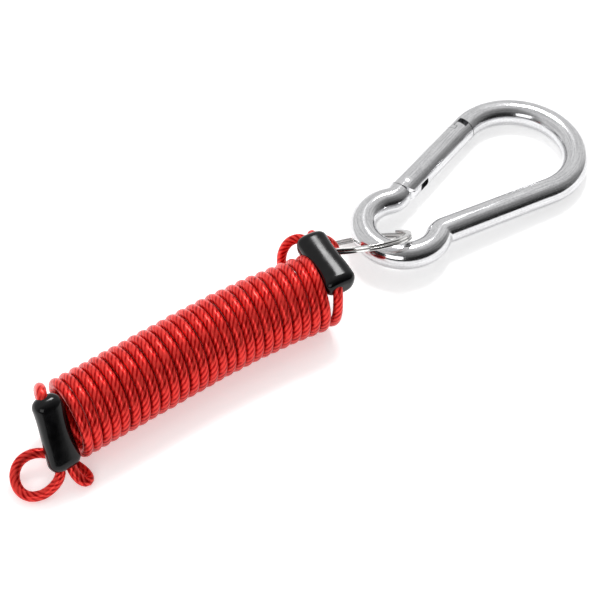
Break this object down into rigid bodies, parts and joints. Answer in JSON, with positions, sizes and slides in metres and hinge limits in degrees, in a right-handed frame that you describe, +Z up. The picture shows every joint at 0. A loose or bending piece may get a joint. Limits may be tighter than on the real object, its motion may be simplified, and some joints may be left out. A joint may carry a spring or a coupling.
{
  "type": "coiled lanyard with snap hook",
  "caption": "Coiled vinyl-covered wire-rope lanyard with an eye loop at each end, a split ring and a round-eyed spring snap hook.",
  "frame": {"origin": "on the table, under the middle of the box that holds the hook and the split ring", "axes": "+Z up, +X along the hook from its small eye to its big end, +Y towards the gate side; the coil lies on the -X side"},
  "size_m": [0.2427, 0.0528, 0.0303],
  "materials": {
    "polished_steel": "polished stainless steel",
    "rivet_steel": "plain stainless steel",
    "spring_steel": "drawn spring wire",
    "nickel_ring": "nickel plated spring steel",
    "red_jacket": "glossy translucent red vinyl over twisted wire",
    "black_vinyl": "soft glossy black vinyl",
    "crimp_aluminium": "pressed aluminium",
    "wire_rope": "twisted galvanised wire"
  },
  "bodies": {
    "hook": {"hook_body": "polished_steel"},
    "gate": {"gate": "polished_steel", "gate_rivet": "rivet_steel", "gate_spring": "spring_steel"},
    "plunger": {"gate_plunger": "rivet_steel"},
    "ring": {"split_ring": "nickel_ring"},
    "lanyard_near": {"coiled_cable": "red_jacket", "hook_end_cover": "black_vinyl", "hook_end_ferrule": "crimp_aluminium", "hook_end_lead_jacket": "red_jacket", "hook_end_loop_jacket": "red_jacket", "hook_end_rope_core": "wire_rope"},
    "lanyard_far": {"free_end_cover": "black_vinyl", "free_end_ferrule": "crimp_aluminium", "free_end_lead_jacket": "red_jacket", "free_end_loop_jacket": "red_jacket", "free_end_rope_core": "wire_rope"}
  },
  "joints": [
    {"name": "gate_hinge", "type": "hinge", "parent": "hook", "child": "gate", "pos_m": [-0.01138, 0.01233, 0.00722], "axis": [-0.0384, 0, -0.9993], "range_deg": [0, 27], "stiffness_Nm_per_rad": 0.25, "springref_deg": -45.84},
    {"name": "plunger_slide", "type": "slide", "parent": "gate", "child": "plunger", "axis": [0.9759, 0.215, -0.0375], "range_m": [0, 0.0007], "deforming": ["gate_spring"]},
    {"name": "ring_swing", "type": "hinge", "parent": "hook", "child": "ring", "pos_m": [-0.02596, 0, 0.00777], "axis": [0.0384, 0, 0.9993], "range_deg": [-45, 45]},
    {"name": "lanyard_swing", "type": "hinge", "parent": "ring", "child": "lanyard_near", "pos_m": [-0.0526, 0.0079, 0.0105], "axis": [0, 0, 1], "range_deg": [-30, 15]},
    {"name": "coil_stretch", "type": "slide", "parent": "lanyard_near", "child": "lanyard_far", "axis": [-0.9949, 0.1012, 0], "range_m": [0, 0.5], "stiffness_N_per_m": 15, "springref_m": -0.02, "deforming": ["coiled_cable"]}
  ],
  "couplings": [
    {"joint": "plunger_slide", "follows": "gate_hinge", "m_per_rad": 0.00131}
  ]
}
